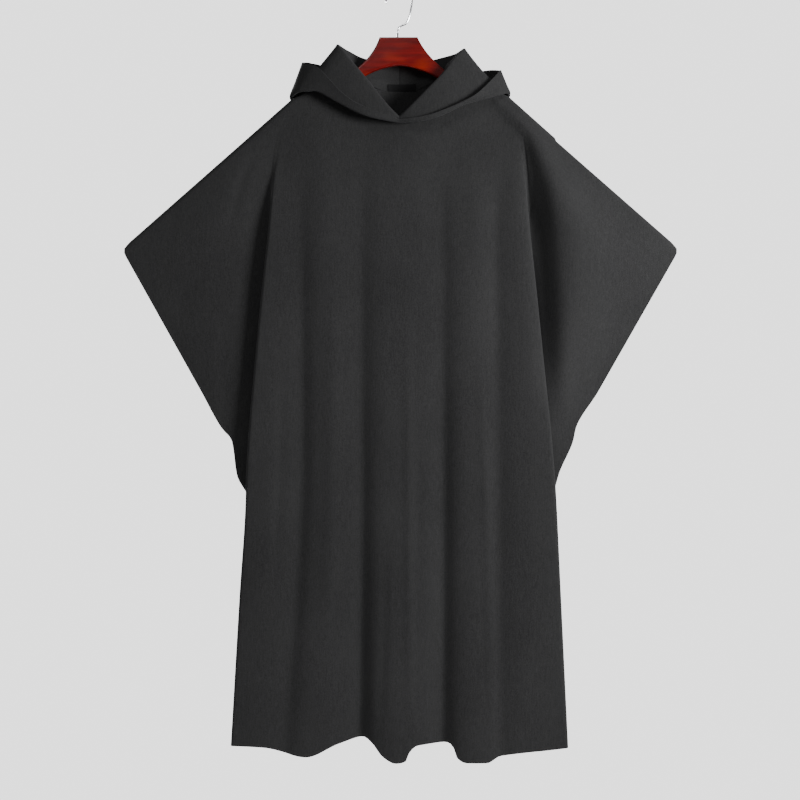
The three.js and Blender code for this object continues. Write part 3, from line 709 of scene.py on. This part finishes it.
def makeLabel():
    firstRow = labelLook["hoodRows"] * hood["stationsPerRow"]
    lastPoint = labelLook["hoodSteps"] * hood["pointsPerStep"] + 1
    sections = []
    for side, table in ((-1, leftHood), (1, rightHood)):
        sections += list(hoodGrid(table, side)[-firstRow:, :lastPoint])
    centre, half = labelLook["centreX"], labelLook["width"] / 2
    x = np.linspace(centre - half, centre + half, labelLook["columns"])
    away = cloth["thickness"] / 2 + labelLook["standOff"]
    away = away + labelLook["endStandOff"] * soften(np.abs(x - centre), *labelLook["endReach"])
    lowest = backPanel["neckZ"] + labelLook["aboveNeck"]
    seamZ = neckHeight(backPanel, centre + half) + labelLook["aboveSeam"]
    made = []
    for z in np.linspace(lowest + labelLook["height"], lowest, labelLook["rows"]):
        depth = backOfNeck(sections, x, max(z, seamZ)) - away
        made.append(np.stack([x, depth, np.full(x.shape, z)], axis=1))
    grid = np.array(made)
    return clothWall("neckLabel", grid, gridNormals(grid), labelLook["thickness"], 0, labelMaterial())


neckLabel = makeLabel()
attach(neckLabel, "root")
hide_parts("neck_label")
print("label ready")


# Hanger

woodLook = dict(
    deep=(0.050, 0.0004, 0.0002, 1),
    red=(0.125, 0.0008, 0.0004, 1),
    orange=(0.300, 0.0200, 0.0018, 1),
    grain=(9, 40, 110), grainRange=(0.3, 0.7),
    bands=(14, 14, 30), bandsRange=(0.5, 0.75), bandsShare=0.3,
    roughness=0.28, roughnessDrift=0.1, specular=0.25, coat=0.3, coatRoughness=0.12,
    relief=0.08, reliefDepth=0.0005,
)


def woodMaterial():
    look = Finish("lacqueredWood")
    grain = look.speckle(woodLook["grain"], 5, 0.6)
    bands = look.spread(look.speckle(woodLook["bands"], 2, 0.5), *woodLook["bandsRange"])
    base = look.mixed(look.spread(grain, *woodLook["grainRange"]), woodLook["deep"], woodLook["red"])
    return look.finished({
        "Base Color": look.mixed(woodLook["bandsShare"] * bands, base, woodLook["orange"]),
        "Roughness": woodLook["roughness"] + woodLook["roughnessDrift"] * grain,
        "Specular IOR Level": woodLook["specular"],
        "Coat Weight": woodLook["coat"],
        "Coat Roughness": woodLook["coatRoughness"],
        "Normal": look.bump(grain, woodLook["relief"], woodLook["reliefDepth"]),
    })


hanger = dict(drop=4.2, edge=4, flat=2.5, edgeSteps=7, stepsPerRun=14)


def armTop(side, x):
    (neckX, neckZ), (shoulderX, shoulder) = topLine(side)[:2]
    return blend(neckZ, shoulder, (x - neckX) / (shoulderX - neckX)) - hanger["drop"]


def hangerOutline():
    runs = [  # corner, or the pull of a curve and where it ends
        [(-52, -138), (-89, armTop(-1, -89))], [(-200, armTop(-1, -200))],
        [(-213, -229), (-208, -238)], [(-203, -246), (-190, -239)], [(-72, -179)],
        [(-36, -158), (0, -156)], [(38, -158), (79, -182)], [(194, -233)],
        [(208, -240), (213, -231)], [(216, -223), (204, armTop(1, 204))], [(96, armTop(1, 96))],
        [(54, -137), (37, -99)], [(-39, -99)],
    ]
    points, here = [], np.array(runs[-1][-1], float)
    for run in runs:
        end = np.array(run[-1], float)
        for step in range(1, hanger["stepsPerRun"] + 1):
            share = step / hanger["stepsPerRun"]
            if len(run) == 1:
                points.append(blend(here, end, share))
            else:
                pull = np.array(run[0], float)
                points.append(blend(blend(here, pull, share), blend(pull, end, share), share))
        here = end
    return np.array(points)


def makeHanger():
    line = hangerOutline()
    run = np.roll(line, -1, axis=0) - np.roll(line, 1, axis=0)
    inward = np.stack([-run[:, 1], run[:, 0]], axis=1)
    inward /= np.linalg.norm(inward, axis=1, keepdims=True)
    area = np.sum(line[:, 0] * np.roll(line[:, 1], -1) - np.roll(line[:, 0], -1) * line[:, 1])
    inward *= np.sign(area)
    angles = np.linspace(90, -90, 2 * hanger["edgeSteps"] + 1)
    points, faces, count = [], [], len(line)
    for angle in np.radians(angles):
        ring = line + inward * hanger["edge"] * (1 - math.cos(angle))
        depth = math.copysign(hanger["flat"], angle) * (abs(angle) > tiny) + hanger["edge"] * math.sin(angle)
        points += [(x, -depth, z) for x, z in ring]
    for ring in range(len(angles) - 1):
        for index in range(count):
            following = (index + 1) % count
            faces.append([ring * count + index, ring * count + following,
                          (ring + 1) * count + following, (ring + 1) * count + index])
    faces += [list(range(count))[::-1], [(len(angles) - 1) * count + index for index in range(count)]]
    return makePiece("hangerWood", points, faces, woodMaterial())


hangerWood = makeHanger()
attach(hangerWood, "root")
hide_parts("hanger_body")

wireLook = dict(
    colour=(0.82, 0.83, 0.85, 1), drawn=(500, 500, 60), roughness=0.14, roughnessDrift=0.08,
    radius=1.8, rings=220, sides=16, tipSize=0.35, tipGrowth=0.13,
    stem=[(-3, -98.7), (-2, -88), (1, -78), (14, -71), (20.5, -58), (24, -42)],
    hookRadius=26, hookStart=-5, hookTurn=200, hookPoints=10,
)


def wireMaterial():
    look = Finish("brightWire")
    drawn = look.speckle(wireLook["drawn"], 2, 0.5)
    return look.finished({
        "Base Color": wireLook["colour"],
        "Metallic": 1.0,
        "Roughness": wireLook["roughness"] + wireLook["roughnessDrift"] * drawn,
    })


def makeHook():
    reach, radius = wireLook["hookRadius"], wireLook["radius"]
    points = list(wireLook["stem"])
    for turned in np.linspace(0, wireLook["hookTurn"], wireLook["hookPoints"]):
        angle = math.radians(wireLook["hookStart"] + turned)
        points.append((reach * math.cos(angle), radius - reach + reach * math.sin(angle)))
    path = curveThrough(points, wireLook["rings"])
    run = np.gradient(path, axis=0)
    run /= np.linalg.norm(run, axis=1, keepdims=True)
    corners, faces, sides = [], [], wireLook["sides"]
    for index, ((x, z), (runX, runZ)) in enumerate(zip(path, run)):
        left = wireLook["rings"] - 1 - index
        size = radius * min(1, wireLook["tipSize"] + wireLook["tipGrowth"] * left)  # a rounded cut end
        for side in range(sides):
            angle = 2 * math.pi * side / sides
            across, deep = size * math.cos(angle), size * math.sin(angle)
            corners.append((x - runZ * across, deep, z + runX * across))
    for index in range(wireLook["rings"] - 1):
        for side in range(sides):
            after = (side + 1) % sides
            faces.append([index * sides + side, index * sides + after,
                          (index + 1) * sides + after, (index + 1) * sides + side])
    faces += [list(range(sides))[::-1], [(wireLook["rings"] - 1) * sides + side for side in range(sides)]]
    return makePiece("hangerWire", corners, faces, wireMaterial())


hangerWire = makeHook()
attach(hangerWire, "root")
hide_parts("hanger_hook")
print("hanger ready")


# Studio

studio = dict(  # in metres
    cameraAt=(0.002, -3.22, -0.824), lens=72.45,
    floorZ=-1.95, floorRadius=1.15, floorSides=72, floorRoughness=0.8, mottle=(3, 3, 3),
    floorDeep=(0.84, 0.84, 0.84, 1), floorLight=(0.88, 0.88, 0.88, 1),
    backdrop=(1, 1, 1, 1), seen=2.18, ambient=0.14, aim=(0, 0, -0.8),
    keyAt=(1.65, -1.2, -0.35), keySize=0.7, keyPower=94,
    sideAt=(-1.3, -0.5, -0.5), sideSize=0.5, sidePower=3.5,
    fillAt=(-0.8, -2.7, 1.9), fillSize=1.4, fillPower=40,
    behindAt=(-1.7, 2.6, 0.3), behindSize=1.2, behindPower=210,
)


def makeLight(name, place, size, power):
    lamp = bpy.data.lights.new(name, "AREA")
    lamp.size, lamp.energy = size, power
    light = bpy.data.objects.new(name, lamp)
    light.location = place
    light.visible_camera = False
    light.rotation_euler = (Vector(studio["aim"]) - Vector(place)).to_track_quat("-Z", "Y").to_euler()
    bpy.context.scene.collection.objects.link(light)


def makeCamera():
    lens = bpy.data.cameras.new("studioCamera")
    lens.lens = studio["lens"]
    camera = bpy.data.objects.new("studioCamera", lens)
    camera.location = studio["cameraAt"]
    camera.rotation_euler = (math.pi / 2, 0, 0)
    bpy.context.scene.collection.objects.link(camera)
    bpy.context.scene.camera = camera


def makeWorld():
    world = bpy.data.worlds.new("studioWorld")
    world.use_nodes = True
    nodes, links = world.node_tree.nodes, world.node_tree.links
    nodes.clear()
    seen, lit = nodes.new("ShaderNodeBackground"), nodes.new("ShaderNodeBackground")
    seen.inputs["Color"].default_value = lit.inputs["Color"].default_value = studio["backdrop"]
    seen.inputs["Strength"].default_value = studio["seen"]
    lit.inputs["Strength"].default_value = studio["ambient"]
    path, mix, out = (nodes.new(kind) for kind in
                      ("ShaderNodeLightPath", "ShaderNodeMixShader", "ShaderNodeOutputWorld"))
    links.new(path.outputs["Is Camera Ray"], mix.inputs[0])
    links.new(lit.outputs[0], mix.inputs[1])
    links.new(seen.outputs[0], mix.inputs[2])
    links.new(mix.outputs[0], out.inputs["Surface"])
    bpy.context.scene.world = world


def makeFloor():
    sides, radius = studio["floorSides"], studio["floorRadius"]
    around = 2 * math.pi * np.arange(sides) / sides
    height = np.full(sides, studio["floorZ"])
    rim = np.stack([radius * np.cos(around), radius * np.sin(around), height], axis=1)
    paper = Finish("paleFloor")
    mottle = paper.speckle(studio["mottle"], 2, 0.5)
    paperLook = paper.finished({
        "Base Color": paper.mixed(mottle, studio["floorDeep"], studio["floorLight"]),
        "Roughness": studio["floorRoughness"],
    })
    return makePiece("studioFloor", rim / mm, [list(range(sides))], paperLook)


makeCamera()
for role in ("key", "side", "fill", "behind"):
    makeLight(role + "Light", studio[role + "At"], studio[role + "Size"], studio[role + "Power"])
makeWorld()
floor = makeFloor()
print("studio ready")
